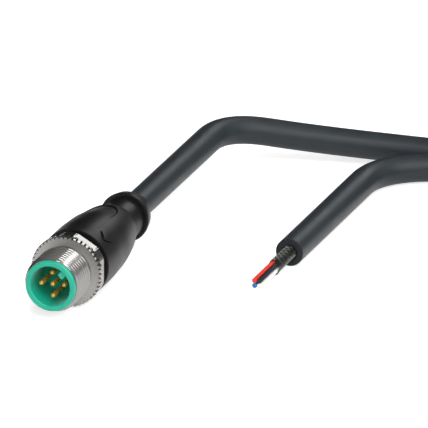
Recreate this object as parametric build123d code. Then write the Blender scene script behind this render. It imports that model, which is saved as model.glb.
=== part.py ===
from build123d import *
import os
from math import cos, pi, radians, sin, sqrt, tan

# Moulded M12 cordset: a male plug lying on its side, its cable, and the cable's stripped far end.
# Frame: plug axis along X with the contacts facing -X, floor at z = 0, origin under the plug's middle.
# Lengths are in millimetres, and a plug piece's places are distances behind the plug's front face.

# Coupling nut
thread_r = 6.0              # M12 x 1 outside thread
thread_relief_r = 5.4
thread_front = 0.95         # the carrier's lip stands in front of the nut
thread_lead = 0.5           # lead-in chamfer
thread_rear = 7.95
collar_front = 9.2
collar_rear = 12.9
collar_r = 7.6              # over the knurl
collar_edge = 0.3
nut_flats = 14.0            # across flats
flats_front = 10.6          # the hexagon is milled from the rear up to here
teeth = 48
tooth_depth = 0.35
nut_bore_r = 5.05
nut_pocket_front = 11.2     # rear pocket that takes the sleeve's flange
nut_pocket_r = 6.0

# Contact carrier and contacts
carrier_lip_r = 5.42
carrier_lip = 0.85
cavity_r = 4.25
cavity_depth = 8.2
carrier_shoulder = 11.2
spigot_r = 4.35
spigot_rear = 15.0
rim_round = 0.3
key_width = 1.3
key_inner_r = 2.8
key_front = 0.5
key_turn = 43.2             # the plug lies with its key turned this far from the top
contact_circle = 5.0
contact_r = 0.5
contact_tip = 1.3
shank_r = 0.65
cup_r = 0.8
cup_length = 3.75
cup_bore_r = 0.4
cup_bore_depth = 2.5
contact_step = 0.4          # where the shank starts, behind the cavity floor

# Shield parts and mouldings inside the grip
sleeve_flange = 1.3
sleeve_flange_r = 5.9
sleeve_bore_r = 4.4
sleeve_rear = 22.0
ferrule_front = 16.0
ferrule_length = 5.5
ferrule_wall = 0.45
mould_rear = 30.0
core_lead = 1.6             # straight end of each core behind its cup

# Grip
grip_front = 13.05
grip_front_r = 7.1
grip_bevel = 1.55
grip_r = 7.45
grip_straight_end = 19.7
grip_middle = (28.4, 7.02)
grip_slope = (35.0, 6.12)
neck_front = (39.8, 4.8)
neck_r = 4.55
flange_front = 43.8
flange_r = 5.23
flange_width = 1.3
flange_round = 0.35
tail_front_r = 4.0
tail_r = 3.2
plug_length = 50.5
field_turn = -50.0          # turn of the recessed side field from the key
field_front = 15.6
field_length = 19.6
field_width = 9.0
field_depth = 0.3
mark_front = 17.1           # arrow that shows where the key is
mark_length = 1.75
mark_half_width = 1.4
mark_stroke = 0.3

# Clearances
turning_gap = 0.05          # the nut turns on the carrier and the sleeve
end_play = 0.1
mould_gap = 0.03
cable_gap = 0.02

# Cable
cable_r = 2.95
core_r = 0.53
core_circle_r = 0.76
cable_start = 26.0          # the jacket ends here inside the plug
open_face = (47.7, -34.8)   # cut face of the jacket at the open end
open_core_length = 19.6
open_braid_length = 9.0
braid_r = 1.46
braid_wall = 0.15

# Coil of the length that is put away
coil_centre = (80.0, -108.2)
coil_r = 35.4               # outer turn, at the middle of the cable
coil_inner_r = 26.4         # inner turn
coil_layers = 2
coil_last_r = 41.25         # the last turn lies on the floor outside the others
coil_last_bend = 33.0       # bend radius with which it comes out from them
coil_entry = -90.0          # heading of the cable from the plug where it meets the coil
coil_exit = -168.0          # heading of the cable from the open end where it meets the coil
entry_stub_length = 22.0
exit_stub_length = 12.0
exit_run = 20.0             # straight run of the open end's cable in front of that stub
tie_width = 9.0
tie_wall = 0.5
tie_gap = 0.02
coil_skin = 0.1             # the wound turns' outline stands this far off them
tie_turns = (55.0, -85.0)

axis_height = collar_r
front_x = -plug_length / 2
contact_ring_r = contact_circle / 2
carrier_r = nut_bore_r - turning_gap
coil_base = tie_wall + tie_gap + coil_skin
coil_height = coil_base + cable_r

os.makedirs("parts", exist_ok=True)


def turned(outline):
    """Solid of revolution about X from an outline of (distance, radius) points."""
    return revolve(make_face(Polyline(*outline, close=True)), Axis.X)


def rod(front, rear, radius):
    return turned([(front, 0), (rear, 0), (rear, radius), (front, radius)])


def ring(front, rear, inner, outer):
    return turned([(front, inner), (rear, inner), (rear, outer), (front, outer)])


def laid(shape):
    """Place a piece of the plug: its key turned, its axis at the height of the nut's radius."""
    return Pos(front_x, 0, axis_height) * Rot(key_turn, 0, 0) * shape


def around(angle, radius):
    """Y and Z of a place at an angle from the key, towards -Y."""
    return -radius * sin(radians(angle)), radius * cos(radians(angle))


def heading(angle):
    return Vector(cos(radians(angle)), sin(radians(angle)), 0)


def save(shape, name):
    solid = shape.solids()[0] if len(shape.solids()) == 1 else Compound(shape.solids())
    export_step(solid, f"parts/{name}.step")
    print(name, round(solid.volume, 2))


contact_angles = [45, 135, 225, 315]
contact_places = [around(angle, contact_ring_r) for angle in contact_angles] + [(0.0, 0.0)]


def contact_carrier():
    body = turned([
        (0, cavity_r), (0, carrier_lip_r), (carrier_lip, carrier_lip_r), (carrier_lip, carrier_r),
        (carrier_shoulder, carrier_r), (carrier_shoulder, spigot_r), (spigot_rear, spigot_r),
        (spigot_rear, 0), (cavity_depth, 0), (cavity_depth, cavity_r),
    ])
    front_edges = body.edges().filter_by(GeomType.CIRCLE).group_by(Axis.X)[0]
    body = fillet(front_edges, rim_round)
    key_depth = cavity_r - key_inner_r + rim_round
    key_solid = Box(cavity_depth - key_front, key_width, key_depth,
                    align=(Align.MIN, Align.CENTER, Align.MIN))
    key_solid = fillet(key_solid.edges().filter_by(Axis.X).group_by(Axis.Z)[0], key_width / 4)
    body += Pos(key_front, 0, key_inner_r) * key_solid
    for y, z in contact_places:
        body -= Pos(0, y, z) * rod(cavity_depth, spigot_rear, shank_r + cable_gap)
        body += Pos(0, y, z) * ring(cavity_depth, cavity_depth + contact_step,
                                    contact_r + cable_gap, shank_r + 2 * cable_gap)
    return body


def contact():
    """Pin, shank and solder cup, turned in one piece."""
    shank_front = cavity_depth + contact_step + cable_gap
    cup_front = spigot_rear + cable_gap
    cup_rear = cup_front + cup_length
    nose = CenterArc((contact_tip + contact_r, 0), contact_r, 90, 90)
    rest = Polyline(
        (contact_tip + contact_r, contact_r), (shank_front, contact_r), (shank_front, shank_r),
        (cup_front, shank_r), (cup_front, cup_r), (cup_rear, cup_r), (cup_rear, cup_bore_r),
        (cup_rear - cup_bore_depth, cup_bore_r), (cup_rear - cup_bore_depth, 0), (contact_tip, 0))
    return revolve(make_face(nose + rest), Axis.X)


def coupling_nut():
    """Turned nut: thread at the front, knurled collar with a hexagon milled from the rear."""
    blank = turned([
        (thread_front, nut_bore_r), (thread_front, thread_r - thread_lead),
        (thread_front + thread_lead, thread_r), (thread_rear, thread_r),
        (thread_rear + thread_r - thread_relief_r, thread_relief_r), (collar_front, thread_relief_r),
        (collar_front, collar_r - collar_edge), (collar_front + collar_edge, collar_r),
        (collar_rear - collar_edge, collar_r), (collar_rear, collar_r - collar_edge),
        (collar_rear, nut_pocket_r), (nut_pocket_front, nut_pocket_r), (nut_pocket_front, nut_bore_r),
    ])
    star = []
    for step in range(2 * teeth):
        radius = collar_r if step % 2 == 0 else collar_r - tooth_depth
        angle = pi * step / teeth
        star.append((radius * sin(angle), -radius * cos(angle)))
    side = Plane.YZ.offset(thread_front)
    knurl = extrude(side * make_face(Polyline(*star, close=True)), collar_rear - thread_front)
    corner_r = nut_flats / sqrt(3)
    hexagon = Plane.YZ.offset(flats_front) * RegularPolygon(corner_r, 6, rotation=30)
    rear = extrude(Plane.YZ.offset(flats_front) * Circle(collar_r + 1), collar_rear - flats_front)
    rear -= extrude(hexagon, collar_rear - flats_front)
    return (blank & knurl) - rear


def shield_sleeve():
    flange_front_x = nut_pocket_front + end_play
    return turned([
        (flange_front_x, sleeve_bore_r), (flange_front_x, sleeve_flange_r),
        (flange_front_x + sleeve_flange, sleeve_flange_r), (flange_front_x + sleeve_flange, carrier_r),
        (sleeve_rear, carrier_r), (sleeve_rear, sleeve_bore_r),
    ])


ferrule_bore_r = carrier_r + mould_gap
ferrule_r = ferrule_bore_r + ferrule_wall
ferrule_rear = ferrule_front + ferrule_length


def crimp_ferrule():
    return ring(ferrule_front, ferrule_rear, ferrule_bore_r, ferrule_r)


def plug_core_path(start_place, end_angle):
    """Core from behind its solder cup to its place in the cable, with a straight end each way."""
    cup_end = spigot_rear + 2 * cable_gap + cup_length
    y0, z0 = start_place
    y1, z1 = around(end_angle, core_circle_r)
    points = [(cup_end, y0, z0), (cup_end + core_lead, y0, z0),
              (cable_start - core_lead, y1, z1), (cable_start, y1, z1)]
    return FilletPolyline(*points, radius=round_radii(points))


def round_radii(points):
    """Largest arc at each corner that its two runs allow: 0.45 of the shorter run."""
    radii = []
    for before, corner, after in zip(points, points[1:], points[2:]):
        run_in = Vector(*corner) - Vector(*before)
        run_out = Vector(*after) - Vector(*corner)
        half_turn = radians(run_in.get_angle(run_out)) / 2
        radii.append(0.45 * min(run_in.length, run_out.length) / tan(half_turn))
    return radii


def swept(path, radius):
    section = Plane(origin=path @ 0, z_dir=path % 0) * Circle(radius)
    return sweep(section, path=path)


plug_cores = {
    "red": (contact_places[1], 135),
    "black": (contact_places[2], 225),
    "white": (contact_places[3], 315),
    "blue": (contact_places[4], 45),
}


def inner_mould():
    """First moulding: fills the sleeve behind the carrier, round the cups, cores and jacket end."""
    mould_r = sleeve_bore_r - mould_gap
    body = rod(spigot_rear + mould_gap, mould_rear, mould_r)
    body -= rod(cable_start, mould_rear, cable_r + cable_gap)
    cup_rear = spigot_rear + cable_gap + cup_length
    for y, z in contact_places:
        body -= Pos(0, y, z) * rod(spigot_rear, cup_rear + cable_gap, cup_r + mould_gap)
    for place, end_angle in plug_cores.values():
        body -= swept(plug_core_path(place, end_angle), core_r + mould_gap)
    return body


def grip_profile(inset):
    """Outside of the grip from its front to the end of its cable tail, as a face down to X."""
    bevel_end = grip_front + grip_bevel
    flange_rear = flange_front + flange_width
    barrel = Polyline((grip_front, grip_front_r - inset), (bevel_end, grip_r - inset),
                      (grip_straight_end, grip_r - inset))
    shoulder = Spline(
        (grip_straight_end, grip_r - inset), (grip_middle[0], grip_middle[1] - inset),
        (grip_slope[0], grip_slope[1] - inset), (neck_front[0], neck_front[1] - inset),
        tangents=[(1, 0), (1, -0.3)])
    neck = Spline((neck_front[0], neck_front[1] - inset), (flange_front, neck_r - inset),
                  tangents=[(1, -0.3), (1, 0.1)])
    rear = Polyline(
        (flange_front, neck_r - inset), (flange_front, flange_r - flange_round - inset),
        (flange_front + flange_round, flange_r - inset),
        (flange_rear - flange_round, flange_r - inset), (flange_rear, tail_front_r - inset),
        (plug_length - flange_round, tail_r - inset),
        (plug_length, tail_r - flange_round / 2 - inset), (plug_length, 0),
        (grip_front, 0), (grip_front, grip_front_r - inset))
    return make_face(barrel + shoulder + neck + rear)


def grip():
    body = revolve(grip_profile(0), Axis.X)
    skin = revolve(grip_profile(0), Axis.X) - revolve(grip_profile(field_depth), Axis.X)
    field = extrude(
        Plane.XY.offset(neck_r / 2)
        * Pos(field_front + field_length / 2, 0)
        * SlotOverall(field_length, field_width), grip_r)
    body -= skin & (Rot(-field_turn, 0, 0) * field)
    chevron_tip = (mark_front, 0)
    arms = []
    for side in (-1, 1):
        arm_end = (mark_front + mark_length, side * mark_half_width)
        arm = Line(chevron_tip, arm_end)
        arms.append(trace(arm, mark_stroke))
    mark = extrude(Plane.XY.offset(neck_r) * (arms[0] + arms[1]), grip_r)
    body -= skin & mark
    bore = (
        rod(grip_front, sleeve_rear, carrier_r + mould_gap)
        + rod(ferrule_front - mould_gap, ferrule_rear + mould_gap, ferrule_r + mould_gap)
        + rod(grip_front, mould_rear + mould_gap, sleeve_bore_r)
        + rod(grip_front, plug_length, cable_r + cable_gap)
    )
    return body - bore


entry_point = Vector(*coil_centre) - coil_r * heading(coil_entry - 90)
entry_stub = entry_point - entry_stub_length * heading(coil_entry)
exit_point = Vector(*coil_centre) + coil_last_r * heading(coil_exit - 90)
exit_stub = exit_point - exit_stub_length * heading(coil_exit)
before_exit = exit_stub - exit_run * heading(coil_exit)


def at_coil_height(place):
    return (place.X, place.Y, coil_height)


# Routes of the cable, in X from the plug's front face, Y and height.
plug_route = [
    (cable_start, 0, axis_height),
    (101, 0, axis_height),
    (107.5, -18, 4.6),
    (entry_stub.X, -45, cable_r),
    at_coil_height(entry_stub),
]
open_route = [
    (open_face[0], open_face[1], cable_r),
    (100, open_face[1], cable_r),
    (108.4, -47.2, cable_r),
    at_coil_height(before_exit),
    at_coil_height(exit_stub),
]


def cable_run(route, name):
    points = [(x + front_x, y, z) for x, y, z in route]
    radii = round_radii(points)
    path = FilletPolyline(*points, radius=radii)
    solid = swept(path, cable_r)
    print(name, "arc radii", [round(radius, 1) for radius in radii], "length", round(path.length, 1),
          "volume against section times length", round(solid.volume / (pi * cable_r**2 * path.length), 5))
    return solid


coil_stack = 2 * cable_r * coil_layers
coil_middle_r = (coil_r + coil_inner_r) / 2
coil_band = coil_r - coil_inner_r + 2 * cable_r
coil_place = Pos(coil_centre[0] + front_x, coil_centre[1], 0)


def coil_section(margin):
    """Section of the wound cable, rounded like the cable, on the +X side of the coil's axis."""
    middle = Pos(coil_middle_r, coil_base + coil_stack / 2)
    side = 2 * (coil_skin + margin)
    return Plane.XZ * middle * RectangleRounded(
        coil_band + side, coil_stack + side, cable_r - coil_skin + margin)


def stub(place, angle, length):
    plane = Plane(origin=(place.X + front_x, place.Y, coil_height), z_dir=heading(angle))
    return extrude(plane * Circle(cable_r), length)


def last_turn():
    """Quarter turn that comes out from under the wound turns to the exit stub."""
    centre = exit_point - coil_last_bend * heading(coil_exit - 90)
    arc = CenterArc((centre.X + front_x, centre.Y, coil_height), coil_last_bend, coil_exit - 90, 90)
    return swept(arc, cable_r)


def cable_coil():
    body = coil_place * revolve(coil_section(0), Axis.Z)
    body += last_turn()
    body += stub(entry_stub, coil_entry, entry_stub_length)
    body += stub(exit_stub, coil_exit, exit_stub_length)
    return body


def coil_tie(turn):
    """Strap round the wound turns, bent to the coil."""
    wrap = coil_section(tie_gap + tie_wall) - coil_section(tie_gap)
    arc = tie_width / coil_middle_r * 180 / pi
    return coil_place * Rot(0, 0, turn - arc / 2) * revolve(wrap, Axis.Z, arc)


def at_open_end(shape):
    return Pos(open_face[0] + front_x, open_face[1], cable_r) * Rot(key_turn, 0, 0) * shape


def open_core(angle):
    y, z = around(angle, core_circle_r)
    return at_open_end(Pos(0, y, z) * rod(-open_core_length, 0, core_r))


save(laid(contact_carrier()), "contact_carrier")
for number, (place_y, place_z) in enumerate(contact_places, start=1):
    save(laid(Pos(0, place_y, place_z) * contact()), f"contact_{number}")
save(Pos(front_x, 0, axis_height) * coupling_nut(), "coupling_nut")
save(laid(shield_sleeve()), "shield_sleeve")
save(laid(crimp_ferrule()), "crimp_ferrule")
save(laid(inner_mould()), "inner_mould")
for colour, (place, end_angle) in plug_cores.items():
    save(laid(swept(plug_core_path(place, end_angle), core_r)), f"plug_core_{colour}")
save(laid(grip()), "grip")
save(cable_run(plug_route, "cable_plug_end"), "cable_plug_end")
save(cable_coil(), "cable_coil")
for number, turn in enumerate(tie_turns, start=1):
    save(coil_tie(turn), f"coil_tie_{number}")
save(cable_run(open_route, "cable_open_end"), "cable_open_end")
save(at_open_end(ring(-open_braid_length, 0, braid_r - braid_wall, braid_r)), "braid_open_end")
for colour, angle in {"black": 0, "white": 90, "blue": 180, "red": 270}.items():
    save(open_core(angle), f"core_{colour}")
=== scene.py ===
# Moulded M12 cordset: its plug with the coupling nut, the cable, and the cable's stripped far end.
import random
from math import cos, floor, pi, radians, sin

import bmesh
import bpy
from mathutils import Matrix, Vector


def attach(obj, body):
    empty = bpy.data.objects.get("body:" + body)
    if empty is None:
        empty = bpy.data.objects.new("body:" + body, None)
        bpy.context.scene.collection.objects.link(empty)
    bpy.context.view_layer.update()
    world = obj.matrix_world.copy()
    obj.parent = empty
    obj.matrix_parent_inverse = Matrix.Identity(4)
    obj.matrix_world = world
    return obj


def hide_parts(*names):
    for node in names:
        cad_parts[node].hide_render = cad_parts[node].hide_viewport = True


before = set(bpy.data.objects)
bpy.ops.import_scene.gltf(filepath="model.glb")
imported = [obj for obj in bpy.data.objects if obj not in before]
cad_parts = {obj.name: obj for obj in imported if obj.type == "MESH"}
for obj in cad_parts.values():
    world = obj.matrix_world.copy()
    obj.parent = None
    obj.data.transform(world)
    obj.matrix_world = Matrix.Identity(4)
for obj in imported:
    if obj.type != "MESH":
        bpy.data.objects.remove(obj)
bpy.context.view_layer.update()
mm = 0.001
print("packed model loaded:", len(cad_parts), "nodes")

plugBody = "plug_and_cable"
nutBody = "coupling_nut"
plug = {
    "frontX": -25.25,      # front face of the contact carrier, in mm like all sizes here
    "axisHeight": 7.6,
    "keyTurn": 43.2,       # the key stands this far from the top, in degrees
    "rear": 50.5,
}


# helpers

def linear(hexColour):
    parts = [int(hexColour[i:i + 2], 16) / 255 for i in (1, 3, 5)]
    return [part / 12.92 if part <= 0.04045 else ((part + 0.055) / 1.055) ** 2.4 for part in parts] + [1]


def addNode(tree, kind, settings=None, links=None):
    node = tree.nodes.new("ShaderNode" + kind)
    for name, value in (settings or {}).items():
        if isinstance(name, int) or name in node.inputs:
            node.inputs[name].default_value = value
        else:
            setattr(node, name, value)
    for name, source in (links or {}).items():
        tree.links.new(source, node.inputs[name])
    return node


def newMaterial(name, settings):
    # a bare shader with settings, and the tree to hang its pattern on
    material = bpy.data.materials.new(name)
    material.use_nodes = True
    tree = material.node_tree
    tree.nodes.clear()
    shader = addNode(tree, "BsdfPrincipled", settings)
    addNode(tree, "OutputMaterial", links={"Surface": shader.outputs[0]})
    return material, tree, shader


def noiseAt(tree, grain, detail=3.0, stretch=(1, 1, 1)):
    # noise whose grain is a size in mm
    place = addNode(tree, "TexCoord")
    mapping = addNode(tree, "Mapping", {"Scale": [part / (grain * mm) for part in stretch]},
                      {"Vector": place.outputs["Object"]})
    return addNode(tree, "TexNoise", {"Scale": 1.0, "Detail": detail, "Roughness": 0.55},
                   {"Vector": mapping.outputs[0]})


def varyColour(tree, shader, source, dark, light, low=0.3, high=0.7):
    ramp = addNode(tree, "ValToRGB", links={"Fac": source})
    ramp.color_ramp.elements[0].position = low
    ramp.color_ramp.elements[0].color = linear(dark)
    ramp.color_ramp.elements[1].position = high
    ramp.color_ramp.elements[1].color = linear(light)
    tree.links.new(ramp.outputs[0], shader.inputs["Base Color"])


def varyRoughness(tree, shader, source, low, high):
    spread = addNode(tree, "MapRange", {"From Min": 0.3, "From Max": 0.7, "To Min": low, "To Max": high},
                     {"Value": source})
    tree.links.new(spread.outputs[0], shader.inputs["Roughness"])


def addBump(tree, shader, source, height, strength=1.0):
    bump = addNode(tree, "Bump", {"Strength": strength, "Distance": height * mm}, {"Height": source})
    tree.links.new(bump.outputs[0], shader.inputs["Normal"])


def onPlug(behind, radius, turn):
    # a place behind the plug's front face, its turn in degrees from the top towards -Y
    return Vector((plug["frontX"] + behind, -radius * sin(radians(turn)),
                   plug["axisHeight"] + radius * cos(radians(turn)))) * mm


def meshPiece(name, points, faces, material, body=plugBody, sharp=35):
    mesh = bpy.data.meshes.new(name)
    mesh.from_pydata(points, [], faces)
    build = bmesh.new()
    build.from_mesh(mesh)
    bmesh.ops.recalc_face_normals(build, faces=build.faces)
    build.to_mesh(mesh)
    build.free()
    mesh.polygons.foreach_set("use_smooth", [True] * len(mesh.polygons))
    mesh.set_sharp_from_angle(angle=radians(sharp))
    mesh.materials.append(material)
    piece = bpy.data.objects.new(name, mesh)
    bpy.context.collection.objects.link(piece)
    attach(piece, body)
    return piece


def gridFaces(rows, columns, closedRows=True):
    # quads of a grid that closes round its columns, and round its rows too if closedRows
    faces = []
    for row in range(rows if closedRows else rows - 1):
        here, there = row * columns, (row + 1) % rows * columns
        for column in range(columns):
            beside = (column + 1) % columns
            faces.append((here + column, here + beside, there + beside, there + column))
    return faces


def lathed(name, outline, material, columns=96, place=onPlug, body=plugBody, sharp=35):
    # a closed outline of (distance, radius) turned about the piece's axis
    points = [place(behind, radius, 360 * column / columns)
              for behind, radius in outline for column in range(columns)]
    return meshPiece(name, points, gridFaces(len(outline), columns), material, body, sharp)


def dress(node, material):
    # a CAD node that stays as it is gets its finish
    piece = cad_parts[node]
    piece.data.materials.clear()
    piece.data.materials.append(material)


# camera: it looks 20 degrees down and 20 degrees across the plug's axis

view = {
    "heading": 20.0,
    "down": 20.0,
    "centre": (-9.01, -29.78, 21.55),    # the picture's middle, at the depth of the plug's front
    "depth": 15.0,                       # mm beyond it, where the width holds
    "width": 428 / 4.875,                # mm across the picture
    "lens": 1650.0,                      # a long lens, as the cable keeps its width into the distance
    "sensor": 36.0,
}
forward = Vector((cos(radians(view["heading"])), sin(radians(view["heading"])), 0))
viewLine = forward * cos(radians(view["down"])) - Vector((0, 0, sin(radians(view["down"]))))
cameraData = bpy.data.cameras.new("camera")
cameraData.lens = view["lens"]
cameraData.sensor_width = view["sensor"]
camera = bpy.data.objects.new("camera", cameraData)
bpy.context.collection.objects.link(camera)
standOff = view["width"] * view["lens"] / view["sensor"]
camera.location = (Vector(view["centre"]) - viewLine * (standOff - view["depth"])) * mm
camera.rotation_mode = "QUATERNION"
camera.rotation_quaternion = viewLine.to_track_quat("-Z", "Y")
cameraData.clip_start = 0.1
cameraData.clip_end = 20
bpy.context.scene.camera = camera
bpy.context.scene.view_settings.view_transform = "Standard"
print("camera stands off", round(standOff / 1000, 2), "m")


# cable: its route follows the solids, with the bend behind the plug 3 mm further back

cable = {
    "radius": 2.95,
    "length": 1.0,         # m, the catalogue length
    "coilCentre": (54.75, -108.2),
    "layHeight": 3.57,     # of the cable's middle under the straps
    "outerTurn": 35.4,
    "innerTurn": 26.4,
    "lastTurn": 41.25,
    "turns": 3.7167,
    "inwardTurns": 1.5,    # wound inwards on the floor
    "stepTurns": 0.3,      # stepping up onto the first layer
    "outwardEnd": 3.3,     # wound outwards on top until here
    "dropTurns": 0.2,      # and down beside the rest
    "pointsPerTurn": 24,
}
plugRoute = [
    (0.75, 0, 7.6), (59.35, 0, 7.6), (78.75, 0, 7.6), (85.0, -18, 4.6), (90.15, -45, 2.95),
    (90.15, -86.2, 3.57),
]
openRoute = [
    (57.911, -65.356, 3.57), (77.474, -61.198, 3.57), (83.15, -47.2, 2.95), (74.75, -34.8, 2.95),
    (59.75, -34.8, 2.95), (23.05, -34.8, 2.95),
]


def coilPoint(turned):
    # the winding runs in along the floor, steps up, runs out on top and drops outside the rest
    layer = 2 * cable["radius"]
    outer, inner, low = cable["outerTurn"], cable["innerTurn"], cable["layHeight"]
    stepStart, dropStart = cable["inwardTurns"], cable["outwardEnd"]
    stepEnd = stepStart + cable["stepTurns"]
    if turned < stepStart:
        radius, height = outer - (outer - inner) * turned / stepStart, low
    elif turned < stepEnd:
        radius, height = inner, low + layer * (turned - stepStart) / cable["stepTurns"]
    elif turned < dropStart:
        outwards = (turned - stepEnd) / (dropStart - stepEnd)
        radius, height = inner + (outer - inner) * outwards, low + layer
    else:
        drop = min((turned - dropStart) / cable["dropTurns"], 1) * pi / 2
        radius = outer + (cable["lastTurn"] - outer) * sin(drop)
        height = low + layer * cos(drop)
    angle = radians(-360 * turned)
    middleX, middleY = cable["coilCentre"]
    return (middleX + radius * cos(angle), middleY + radius * sin(angle), height)


coilSteps = round(cable["turns"] * cable["pointsPerTurn"])
coilPoints = [coilPoint(cable["turns"] * step / coilSteps) for step in range(coilSteps + 1)]
cablePoints = plugRoute + coilPoints + openRoute

cableCurve = bpy.data.curves.new("cable", "CURVE")
cableCurve.dimensions = "3D"
cableCurve.bevel_depth = cable["radius"] * mm
cableCurve.bevel_resolution = 10
cableCurve.resolution_u = 10
cableCurve.use_fill_caps = True
spline = cableCurve.splines.new("NURBS")
spline.points.add(len(cablePoints) - 1)
for point, place in zip(spline.points, cablePoints):
    point.co = (place[0] * mm, place[1] * mm, place[2] * mm, 1)
spline.order_u = 3
spline.use_endpoint_u = True
cableObject = bpy.data.objects.new("cable_jacket", cableCurve)
bpy.context.collection.objects.link(cableObject)

# extruded polyurethane: matt and faintly mottled, with a soft sheen along its top
jacketGrey, tree, shader = newMaterial("extruded_grey_polyurethane",
                                       {"Roughness": 0.42, "IOR": 1.5, "Specular IOR Level": 0.35})
mottle = noiseAt(tree, 4.0)
varyColour(tree, shader, mottle.outputs[0], "#282D31", "#2C3236")
varyRoughness(tree, shader, mottle.outputs[0], 0.38, 0.46)
addBump(tree, shader, noiseAt(tree, 0.35, 2.0).outputs[0], 0.01, 0.35)
cableCurve.materials.append(jacketGrey)

# the same polyurethane where a blade has cut it: dull, and a darker copy of the jacket's colour, which is
# painted shade on the cut face
cutGreyPaintedShade, tree, shader = newMaterial("cut_grey_polyurethane_painted_shade",
                                    {"Roughness": 0.6, "IOR": 1.5, "Specular IOR Level": 0.3})
varyColour(tree, shader, noiseAt(tree, 0.5).outputs[0], "#1B1E23", "#22252B")
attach(cableObject, plugBody)
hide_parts("cable_plug_end", "cable_coil", "cable_open_end")
print("cable laid with", len(cablePoints), "points")


# plug metal and plastic finishes

# nickel on turned and milled metal: satin, with fine marks round the axis
satinNickel, tree, shader = newMaterial("satin_nickel_plating",
                                        {"Metallic": 1.0, "Roughness": 0.24})
turningMarks = noiseAt(tree, 0.12, 2.0, (1, 0.02, 0.02))
varyColour(tree, shader, turningMarks.outputs[0], "#9B9997", "#A6A4A2")
varyRoughness(tree, shader, turningMarks.outputs[0], 0.17, 0.24)
addBump(tree, shader, turningMarks.outputs[0], 0.004, 0.3)

# nickel on the faced shoulder of the collar: coarser marks, so it is duller and evenly grey, and a
# lighter copy of the nickel's colour, which is painted light
facedNickelPaintedLight, tree, shader = newMaterial("faced_nickel_plating_painted_light", {"Metallic": 1.0, "Roughness": 0.5})
facingMarks = noiseAt(tree, 0.2, 2.0)
varyColour(tree, shader, facingMarks.outputs[0], "#B3B1AE", "#C0BEBB")
varyRoughness(tree, shader, facingMarks.outputs[0], 0.46, 0.56)

# thin gold on turned brass: warm and satin, so it keeps its colour deep in the cavity
goldPlating, tree, shader = newMaterial("gold_plated_brass", {"Metallic": 0.45, "Roughness": 0.26})
bloom = noiseAt(tree, 0.6)
varyColour(tree, shader, bloom.outputs[0], "#DC9C3A", "#F0BA5C")
varyRoughness(tree, shader, bloom.outputs[0], 0.24, 0.32)

# injection moulded glass-filled nylon: satin, slightly translucent green, its glass fibres
# give the steep walls of the cavity a pale bloom
carrierGreen, tree, shader = newMaterial(
    "moulded_green_nylon",
    {"Roughness": 0.32, "IOR": 1.53, "Subsurface Weight": 0.12, "Subsurface Scale": 0.0006,
     "Sheen Weight": 0.45, "Sheen Roughness": 0.3})
flow = noiseAt(tree, 2.5)
varyColour(tree, shader, flow.outputs[0], "#0AAA8C", "#12B394")
varyRoughness(tree, shader, flow.outputs[0], 0.28, 0.38)
addBump(tree, shader, noiseAt(tree, 0.15, 2.0).outputs[0], 0.004, 0.3)

# polyurethane moulded in an eroded tool: fine even grain, dull black
gripBlack, tree, shader = newMaterial("moulded_black_polyurethane",
                                      {"Roughness": 0.4, "IOR": 1.5, "Specular IOR Level": 0.34})
flow = noiseAt(tree, 6.0)
varyColour(tree, shader, flow.outputs[0], "#0D0D0D", "#111111")
varyRoughness(tree, shader, flow.outputs[0], 0.35, 0.43)
addBump(tree, shader, noiseAt(tree, 0.18, 2.0).outputs[0], 0.012, 0.35)

# polypropylene of the first shot, never seen from outside
mouldBlack, tree, shader = newMaterial("moulded_polypropylene", {"Roughness": 0.55, "IOR": 1.49})
varyColour(tree, shader, noiseAt(tree, 3.0).outputs[0], "#242424", "#2E2E2E")


def coreFinish(name, dark, light):
    # extruded polypropylene core: smooth satin with a waxy edge
    material, tree, shader = newMaterial(
        name, {"Roughness": 0.35, "IOR": 1.49, "Subsurface Weight": 0.06, "Subsurface Scale": 0.0004})
    streaks = noiseAt(tree, 0.8, 2.0, (0.1, 1, 1))
    varyColour(tree, shader, streaks.outputs[0], dark, light)
    varyRoughness(tree, shader, streaks.outputs[0], 0.3, 0.42)
    return material


coreFinishes = {
    "red": coreFinish("red_polypropylene", "#DC3327", "#E84336"),
    "black": coreFinish("black_polypropylene", "#16191D", "#1E2226"),
    "white": coreFinish("white_polypropylene", "#EDEDEA", "#F6F6F4"),
    "blue": coreFinish("blue_polypropylene", "#2067AC", "#2874BC"),
}

# tinned copper wire: dull silver, a little darker where it has oxidised
tinnedCopper, tree, shader = newMaterial("tinned_copper_wire", {"Metallic": 1.0, "Roughness": 0.42})
tarnish = noiseAt(tree, 0.7)
varyColour(tree, shader, tarnish.outputs[0], "#484A46", "#787A75")

# woven hook-and-loop strap: black, soft loops that scatter light
strapBlack, tree, shader = newMaterial("woven_loop_strap", {"Roughness": 0.9, "Sheen Weight": 0.3})
loops = noiseAt(tree, 0.4)
varyColour(tree, shader, loops.outputs[0], "#121314", "#26282A")
addBump(tree, shader, loops.outputs[0], 0.12, 0.8)
print("finishes made")


# coupling nut: thread, relief and a knurled collar with a hexagon milled from the rear

nut = {
    "boreRadius": 5.05,
    "threadFront": 0.95,
    "threadRear": 7.95,
    "threadRadius": 6.0,
    "pitch": 1.0,
    "threadDepth": 0.61,
    "crestFlat": 0.0625,   # half of the flat on each crest
    "flankLength": 0.3125,
    "lead": 0.5,
    "reliefRadius": 5.4,
    "collarFront": 9.2,
    "collarRear": 12.9,
    "collarRadius": 7.6,
    "edge": 0.14,          # chamfer round the collar
    "teeth": 48,
    "toothDepth": 0.42,
    "land": 0.5,           # share of the pitch left at the crest
    "columnsPerTooth": 8,
    "acrossFlats": 14.0,
    "flatsFront": 10.6,
    "flatStep": 0.1,       # the corners of the hexagon lie under the teeth
    "pocketFront": 11.2,
    "pocketRadius": 6.0,
    "threadRows": 12,      # per turn
}


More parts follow.
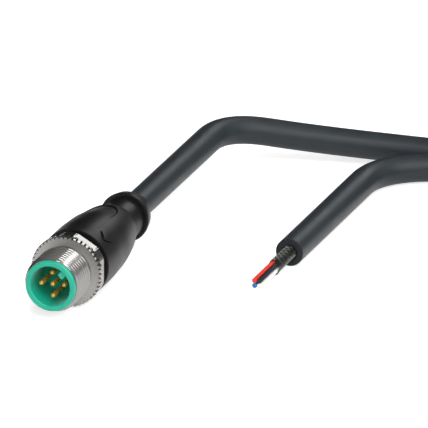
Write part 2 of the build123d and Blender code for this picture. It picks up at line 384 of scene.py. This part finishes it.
def threadRadius(behind, turn):
    # 60 degree thread, right hand, with its crest and root flats
    along = behind / nut["pitch"] - turn / 360
    fromCrest = abs(along - floor(along) - 0.5) * nut["pitch"]
    flank = min(max((fromCrest - nut["crestFlat"]) / nut["flankLength"], 0), 1)
    crest = min(nut["threadRadius"], nut["threadRadius"] - nut["lead"] + behind - nut["threadFront"])
    return min(crest, nut["threadRadius"] - nut["threadDepth"] * flank)


def knurlDrop(turn):
    # teeth with flat lands and narrow grooves between them
    inTooth = abs((turn * nut["teeth"] / 360 + 0.5) % 1 - 0.5) * 2
    return nut["toothDepth"] * max(inTooth - nut["land"], 0) / (1 - nut["land"])


def flatRadius(turn):
    return nut["acrossFlats"] / 2 / cos(radians(turn % 60 - 30))


def nutRows():
    # (distance, radius, zone) from the thread's start round to the bore
    rows = [(nut["threadFront"], nut["boreRadius"] + 0.1, "plain")]
    threadSteps = round((nut["threadRear"] - nut["threadFront"]) * nut["threadRows"] / nut["pitch"])
    for step in range(threadSteps + 1):
        rows.append((nut["threadFront"] + step * nut["pitch"] / nut["threadRows"], 0, "thread"))
    relief, front, rear = nut["reliefRadius"], nut["collarFront"], nut["collarRear"]
    radius, edge, flats = nut["collarRadius"], nut["edge"], nut["flatsFront"]
    threadRear, pocket, pocketFront = nut["threadRear"], nut["pocketRadius"], nut["pocketFront"]
    rows += [(threadRear + 0.35, relief + 0.06, "plain"), (threadRear + 0.6, relief, "plain"),
             (front - 0.2, relief, "plain"), (front - 0.06, relief + 0.06, "plain"),
             (front, relief + 0.2, "plain"), (front, radius - edge - 0.45, "plain"),
             (front, radius - edge, "knurl"), (front + edge, radius, "knurl"),
             (flats, radius, "knurl"), (flats, radius, "flats"), (rear - edge, radius, "flats"),
             (rear, radius - edge, "flats"), (rear, pocket + 0.1, "plain"), (rear - 0.1, pocket, "plain"),
             (pocketFront, pocket, "plain"), (pocketFront, nut["boreRadius"], "plain"),
             (nut["threadFront"] + 0.1, nut["boreRadius"], "plain")]
    return rows


def nutRadius(row, turn):
    behind, radius, zone = row
    if zone == "thread":
        return threadRadius(behind, turn)
    if zone == "plain":
        return radius
    if zone == "knurl":
        return radius - knurlDrop(turn)
    return min(radius - nut["flatStep"], flatRadius(turn))


nutColumns = nut["teeth"] * nut["columnsPerTooth"]
nutTurns = [360 * column / nutColumns for column in range(nutColumns)]
nutPoints = [onPlug(row[0], nutRadius(row, turn), turn) for row in nutRows() for turn in nutTurns]
couplingNut = meshPiece("coupling_nut_detailed", nutPoints, gridFaces(len(nutRows()), nutColumns),
                        satinNickel, nutBody, 32)
# the collar's shoulder takes the lighter copy of the nickel, painted light
couplingNut.data.materials.append(facedNickelPaintedLight)
shoulder = onPlug(nut["collarFront"], 0, 0).x
for polygon in couplingNut.data.polygons:
    if abs(polygon.center.x - shoulder) < 0.01 * mm:
        polygon.material_index = 1
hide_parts("coupling_nut")
print("coupling nut cut, thread of", nut["threadRows"], "rows a turn")


# grip: moulded barrel with its key arrow, a recessed bare field and the flange

grip = {
    "outline": [(14.65, 7.45), (16.6, 7.45), (19.7, 7.45), (24.0, 7.28), (28.4, 6.98), (32.8, 6.32),
                (35.0, 5.86), (36.4, 5.45), (37.4, 5.06), (38.1, 4.62), (39.0, 4.48), (43.8, 4.5)],
    "neckRadius": 6.3,     # between the nut and the barrel
    "neckFront": 13.05,
    "rowStep": 0.15,
    "columns": 352,
    "sunkRear": 40,        # no field or arrow behind here
    "fieldTurn": -6.8,     # middle of the recessed field, from the top
    "fieldRadius": 7.3,    # where its width is measured
    "fieldFront": 15.6,
    "fieldLength": 19.6,
    "fieldWidth": 9.0,
    "fieldDepth": 0.3,     # at the rear
    "fieldFrontShare": 0.12,   # of that depth, at the front
    "fieldFade": (25, 32),     # where it gets deeper
    "fieldEdge": 0.12,
    "arrowTurn": 46.6,
    "arrowRadius": 7.4,
    "arrowFront": 16.85,
    "arrowLength": 1.75,
    "arrowHalfWidth": 1.4,
    "arrowStroke": (0.12, 0.3),   # half width at the bottom and at the surface
    "arrowDepth": 0.75,
    "flangeFront": 43.8,
    "flangeRear": 46.8,
    "flangeRadius": 5.3,
    "flangeRearRadius": 4.85,
    "tailFrontRadius": 4.0,
    "tailRadius": 3.2,
    "cableBore": 3.0,
    "sleeveBore": 5.1,
    "sleeveBoreRear": 30.0,
}


def smooth(low, high, value):
    part = min(max((value - low) / (high - low), 0), 1)
    return part * part * (3 - 2 * part)


def outlineSlopes():
    # level along the straight barrel, and the slope between its neighbours at each later point
    points = grip["outline"]
    slopes = [0, 0, 0]
    for here in range(3, len(points)):
        before, after = points[here - 1], points[min(here + 1, len(points) - 1)]
        slopes.append((after[1] - before[1]) / (after[0] - before[0]))
    return slopes


def outlineRadius(behind, slopes):
    # smooth curve through the outline's points
    points = grip["outline"]
    for here in range(len(points) - 1):
        if behind <= points[here + 1][0] or here == len(points) - 2:
            break
    (x0, r0), (x1, r1) = points[here], points[here + 1]
    part, span = (behind - x0) / (x1 - x0), x1 - x0
    return ((2 * part ** 3 - 3 * part ** 2 + 1) * r0
            + (part ** 3 - 2 * part ** 2 + part) * span * slopes[here]
            + (3 * part ** 2 - 2 * part ** 3) * r1 + (part ** 3 - part ** 2) * span * slopes[here + 1])


def distanceToLine(x, y, start, end):
    along = Vector(end) - Vector(start)
    part = min(max((Vector((x, y)) - Vector(start)).dot(along) / along.length_squared, 0), 1)
    return (Vector((x, y)) - Vector(start) - along * part).length


def acrossFrom(turn, middle, radius):
    # mm round the barrel from a middle line
    return radians((turn - middle + 180) % 360 - 180) * radius


def gripSink(behind, turn):
    # how deep the surface lies under the barrel: the field's slot shape and the arrow's strokes
    half = grip["fieldWidth"] / 2
    across = acrossFrom(turn, grip["fieldTurn"], grip["fieldRadius"])
    front, rear = grip["fieldFront"] + half, grip["fieldFront"] + grip["fieldLength"] - half
    outside = distanceToLine(behind, across, (front, 0), (rear, 0)) - half
    share = grip["fieldFrontShare"]
    depth = grip["fieldDepth"] * (share + (1 - share) * smooth(*grip["fieldFade"], behind))
    sink = depth * (1 - smooth(-grip["fieldEdge"], grip["fieldEdge"], outside))
    across = acrossFrom(turn, grip["arrowTurn"], grip["arrowRadius"])
    tip = (grip["arrowFront"], 0)
    ends = [(tip[0] + grip["arrowLength"], side * grip["arrowHalfWidth"]) for side in (-1, 1)]
    fromStroke = min(distanceToLine(behind, across, tip, end) for end in ends)
    return max(sink, grip["arrowDepth"] * (1 - smooth(*grip["arrowStroke"], fromStroke)))


def gripRows():
    # the barrel's outside, then the flange, the cable tail, the bore and the flat front face
    rows = []
    slopes = outlineSlopes()
    start, front = grip["outline"][0][0], grip["flangeFront"]
    steps = round((front - start) / grip["rowStep"])
    for step in range(steps + 1):
        behind = start + (front - start) * step / steps
        rows.append((behind, outlineRadius(behind, slopes)))
    rear, radius, rearRadius = grip["flangeRear"], grip["flangeRadius"], grip["flangeRearRadius"]
    rows += [(front, radius - 0.15), (front + 0.04, radius - 0.04), (front + 0.15, radius),
             (front + 0.6, radius - 0.02), (rear - 0.2, rearRadius), (rear - 0.05, rearRadius - 0.05),
             (rear, rearRadius - 0.2)]
    end, tail, tailEnd = plug["rear"], grip["tailFrontRadius"], grip["tailRadius"]
    rows += [(rear + 0.05, tail - 0.2), (rear + 1.2, tail - 0.35), (end - 1.2, tailEnd + 0.1),
             (end - 0.4, tailEnd), (end - 0.1, tailEnd - 0.08), (end, tailEnd - 0.2)]
    cableBore, sleeveBore, boreRear = grip["cableBore"], grip["sleeveBore"], grip["sleeveBoreRear"]
    neckFront, neck = grip["neckFront"], grip["neckRadius"]
    rows += [(end, cableBore), (boreRear, cableBore), (boreRear, sleeveBore), (neckFront, sleeveBore),
             (neckFront, neck), (start - 0.15, neck), (start - 0.15, 7.3), (start - 0.11, 7.41)]
    return rows


gripPoints = []
barrelFront = grip["outline"][0][0]
for behind, radius in gripRows():
    onBarrel = barrelFront < behind < grip["sunkRear"] and radius > grip["sleeveBore"]
    for column in range(grip["columns"]):
        turn = 360 * column / grip["columns"]
        sunk = gripSink(behind, turn) if onBarrel else 0
        gripPoints.append(onPlug(behind, radius - sunk, turn))
gripPiece = meshPiece("grip_moulding", gripPoints, gridFaces(len(gripRows()), grip["columns"]),
                      gripBlack, plugBody, 40)
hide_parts("grip")
print("grip moulded with", len(gripPoints), "points")


# carrier, contacts and hidden pieces keep their solids

dress("contact_carrier", carrierGreen)
for number in range(1, 6):
    dress(f"contact_{number}", goldPlating)
dress("shield_sleeve", satinNickel)
dress("crimp_ferrule", satinNickel)
dress("inner_mould", mouldBlack)
for colour, finish in coreFinishes.items():
    dress(f"plug_core_{colour}", finish)
dress("coil_tie_1", strapBlack)
dress("coil_tie_2", strapBlack)


# stripped end: cut jacket, braid and four cores

openEnd = {
    "face": (22.45, -34.8, 2.95),
    "sleeveLength": 0.62,  # the cut end is a short sleeve over the cable's end
    "hollowRadius": 1.66,
    "hollowDrop": 0.14,    # the hollow lies a little low in the cut face
    "braidRadius": 1.46,
    "braidLength": 9.2,
    "slant": 0.9,          # the braid is torn off longer on one side
    "slantTurn": 125,
    "ragged": 0.4,         # wire ends differ by up to this much
    "fray": 0.12,          # they spread outwards over their last stretch
    "frayLength": 0.6,
    "weaveDepth": 0.05,
    "braidStart": -0.6,    # inside the jacket, like the start of the cores
    "wireSteps": 46,
    "braidWire": 0.055,    # wire radius
    "carriers": 12,        # bundles each way round
    "wiresPerBundle": 4,
    "wirePitch": 0.14,
    "layLength": 9.0,      # mm for one turn of a bundle
    "coreRadius": 0.53,
    "coreCircle": 0.76,
    "coreLength": 19.6,
}


def atOpenEnd(ahead, radius, turn):
    # a place ahead of the cut face, towards the open ends, its turn from the top towards -Y
    x, y, z = openEnd["face"]
    return Vector((x - ahead, y - radius * sin(radians(turn)), z + radius * cos(radians(turn)))) * mm


def onCutEnd(ahead, radius, turn):
    # the rings round the hollow are dropped, those on the outside stay
    drop = openEnd["hollowDrop"] * mm if radius < 2 else 0
    return atOpenEnd(ahead, radius, turn) - Vector((0, 0, drop))


outside, hollow = cable["radius"], openEnd["hollowRadius"]
jacketEnd = lathed("jacket_cut_end", [
    (-openEnd["sleeveLength"], outside), (-0.12, outside), (-0.03, outside - 0.04), (0, outside - 0.12),
    (0, hollow + 0.06), (-0.08, hollow), (-openEnd["sleeveLength"], hollow)], jacketGrey, 64, onCutEnd)
# the cut face takes the darker copy of the polyurethane, painted shade
jacketEnd.data.materials.append(cutGreyPaintedShade)
for polygon in jacketEnd.data.polygons:
    if polygon.center.x < (openEnd["face"][0] + 0.1) * mm:
        polygon.material_index = 1


def tubeAlong(path, radius, sides):
    # a plain tube whose rings stand square to a path of points in metres
    points = []
    for here, place in enumerate(path):
        along = (path[min(here + 1, len(path) - 1)] - path[max(here - 1, 0)]).normalized()
        side = along.cross(Vector((0, 0, 1)) if abs(along.z) < 0.9 else Vector((1, 0, 0))).normalized()
        up = along.cross(side)
        for corner in range(sides):
            angle = 2 * pi * corner / sides
            points.append(place + (side * cos(angle) + up * sin(angle)) * radius)
    tips = [tuple(range(sides)), tuple(range(len(points) - sides, len(points)))]
    return points, gridFaces(len(path), sides, False) + tips


def wirePath(way, bundle, wire, chance):
    # one wire, wound round with its bundle, which passes over and under those that cross it
    length, lay, carriers = openEnd["braidLength"], openEnd["layLength"], openEnd["carriers"]
    offset = (wire - (openEnd["wiresPerBundle"] - 1) / 2) * openEnd["wirePitch"]
    tip = way * 360 * length / lay + 360 * bundle / carriers
    reach = length + chance.uniform(-openEnd["ragged"], openEnd["ragged"])
    reach += openEnd["slant"] * cos(radians(tip - openEnd["slantTurn"]))
    path = []
    for step in range(openEnd["wireSteps"] + 1):
        ahead = openEnd["braidStart"] + (reach - openEnd["braidStart"]) * step / openEnd["wireSteps"]
        turn = way * 360 * ahead / lay + 360 * bundle / carriers
        turn += offset / openEnd["braidRadius"] * 180 / pi
        weave = cos(carriers * 2 * pi * ahead / lay + pi * bundle)
        radius = openEnd["braidRadius"] - 0.08 + openEnd["weaveDepth"] * way * weave
        frayed = max(ahead - length + openEnd["frayLength"], 0)
        radius += openEnd["fray"] * frayed * chance.uniform(0, 1)
        path.append(atOpenEnd(ahead, radius, turn))
    return path


def braidWires():
    # bundles run both ways round
    points, faces = [], []
    chance = random.Random(7)
    for way in (-1, 1):
        for bundle in range(openEnd["carriers"]):
            for wire in range(openEnd["wiresPerBundle"]):
                path = wirePath(way, bundle, wire, chance)
                more, quads = tubeAlong(path, openEnd["braidWire"] * mm, 4)
                faces += [tuple(corner + len(points) for corner in face) for face in quads]
                points += more
    return points, faces


braidPoints, braidFaces = braidWires()
braid = meshPiece("braid_wires", braidPoints, braidFaces, tinnedCopper, plugBody, 80)
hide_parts("braid_open_end")

coreStart, coreTip, coreRadius = openEnd["braidStart"], openEnd["coreLength"], openEnd["coreRadius"]
for colour, turn in {"black": 0, "white": 90, "blue": 180, "red": 270}.items():
    middle = atOpenEnd(0, openEnd["coreCircle"], turn + plug["keyTurn"])

    def onCore(ahead, away, angle):
        return middle + Vector((-ahead, -away * sin(radians(angle)), away * cos(radians(angle)))) * mm

    core = lathed(f"core_{colour}_insulation", [
        (coreStart, coreRadius), (coreTip - 0.08, coreRadius), (coreTip - 0.02, coreRadius - 0.03),
        (coreTip, coreRadius - 0.08), (coreTip, 0.01), (coreStart, 0.01)],
        coreFinishes[colour], 32, onCore)
    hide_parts(f"core_{colour}")
print("stripped end braided with", len(braidFaces), "faces")


# floor, world and lamps

studio = {
    "floorHalf": 3.0,        # m
    "floorDrop": 0.05,       # mm below the cable, so that the two don't flicker
    "floorWhite": 0.8,
    "cameraLift": 0.65,      # what the camera sees on top of the lit paper
    "mirrorLift": 0.3,       # and what gloss and polished metal see
    "mirrorEnd": (0.02, 0.12),         # m, where that fades out towards the dim side
    "dimSide": (0.7, 0.7, 0),
    "openSide": (-0.75, -0.65, 0.0),   # the room is bright to this side and dim opposite
    "dimAt": -0.7,
    "brightAt": 0.6,
    "bright": 0.42,
    "dim": 0.03,
    "diffuseShare": 1.8,     # how much brighter dull surfaces see it than mirrors do
}

floorMesh = bpy.data.meshes.new("floor")
half = studio["floorHalf"]
floorCorners = [(-half, -half, 0), (half, -half, 0), (half, half, 0), (-half, half, 0)]
floorMesh.from_pydata(floorCorners, [], [(0, 1, 2, 3)])
floorObject = bpy.data.objects.new("floor", floorMesh)
bpy.context.collection.objects.link(floorObject)
floorObject.location.z = -studio["floorDrop"] * mm
paperWhite = bpy.data.materials.new("white_studio_paper")
paperWhite.use_nodes = True
tree = paperWhite.node_tree
tree.nodes.clear()
paths = addNode(tree, "LightPath")
ground = addNode(tree, "TexCoord")
towardsDim = addNode(tree, "VectorMath", {"operation": "DOT_PRODUCT", 1: studio["dimSide"]},
                     {0: ground.outputs["Object"]})
near, far = studio["mirrorEnd"]
fade = addNode(tree, "MapRange",
               {"From Min": near, "From Max": far, "To Min": studio["mirrorLift"], "To Max": 0.0},
               {"Value": towardsDim.outputs["Value"]})
mirrored = addNode(tree, "Math", {"operation": "MULTIPLY"},
                   {0: paths.outputs["Is Glossy Ray"], 1: fade.outputs[0]})
lifted = addNode(tree, "Math", {"operation": "MULTIPLY_ADD", 1: studio["cameraLift"]},
                 {0: paths.outputs["Is Camera Ray"], 2: mirrored.outputs[0]})
lift = addNode(tree, "Emission", {"Color": (1, 1, 1, 1)}, {"Strength": lifted.outputs[0]})
white = studio["floorWhite"]
paper = addNode(tree, "BsdfDiffuse", {"Color": (white, white, white, 1)})
both = addNode(tree, "AddShader", links={0: paper.outputs[0], 1: lift.outputs[0]})
addNode(tree, "OutputMaterial", links={"Surface": both.outputs[0]})
floorMesh.materials.append(paperWhite)

world = bpy.data.worlds.new("studio")
bpy.context.scene.world = world
world.use_nodes = True
tree = world.node_tree
tree.nodes.clear()
paths = addNode(tree, "LightPath")
direction = addNode(tree, "TexCoord")
facing = addNode(tree, "VectorMath", {"operation": "DOT_PRODUCT", 1: studio["openSide"]},
                 {0: direction.outputs["Generated"]})
walls = addNode(tree, "MapRange", {"From Min": studio["dimAt"], "From Max": studio["brightAt"],
                                   "To Min": studio["dim"], "To Max": studio["bright"]},
                {"Value": facing.outputs["Value"]})
share = addNode(tree, "MapRange", {"To Min": studio["diffuseShare"], "To Max": 1.0},
                {"Value": paths.outputs["Is Glossy Ray"]})
strength = addNode(tree, "Math", {"operation": "MULTIPLY"}, {0: walls.outputs[0], 1: share.outputs[0]})
room = addNode(tree, "Background", {"Color": (1, 1, 1, 1)}, {"Strength": strength.outputs[0]})
backdrop = addNode(tree, "Background", {"Color": (1, 1, 1, 1), "Strength": 1.0})
pick = addNode(tree, "MixShader", links={0: paths.outputs["Is Camera Ray"], 1: room.outputs[0],
                                         2: backdrop.outputs[0]})
addNode(tree, "OutputWorld", links={"Surface": pick.outputs[0]})


def softBox(name, place, size, power):
    # an area lamp that faces the plug
    lamp = bpy.data.lights.new(name, "AREA")
    lamp.shape = "RECTANGLE"
    lamp.size, lamp.size_y = size
    lamp.energy = power
    piece = bpy.data.objects.new(name, lamp)
    bpy.context.collection.objects.link(piece)
    piece.location = place
    piece.rotation_mode = "QUATERNION"
    piece.rotation_quaternion = (-Vector(place)).to_track_quat("-Z", "Y")
    return piece


# place and size in m, power in W
softBox("back_softbox", (1.06, -0.16, 0.54), (0.5, 0.33), 1.3)   # streak along the cables
softBox("top_softbox", (0.1, -0.4, 0.9), (0.9, 0.9), 2)          # fills from above
softBox("front_softbox", (-0.9, -0.28, 0.57), (0.3, 0.3), 1.4)   # reaches into the contact cavity
softBox("key_softbox", (-0.45, -0.8, 0.75), (1.0, 1.0), 6.5)     # lights the cavity's far wall
softBox("lip_softbox", (-0.55, -0.1, 0.9), (0.3, 0.3), 2.0)      # and its lower wall, behind the rim
print("studio lit")
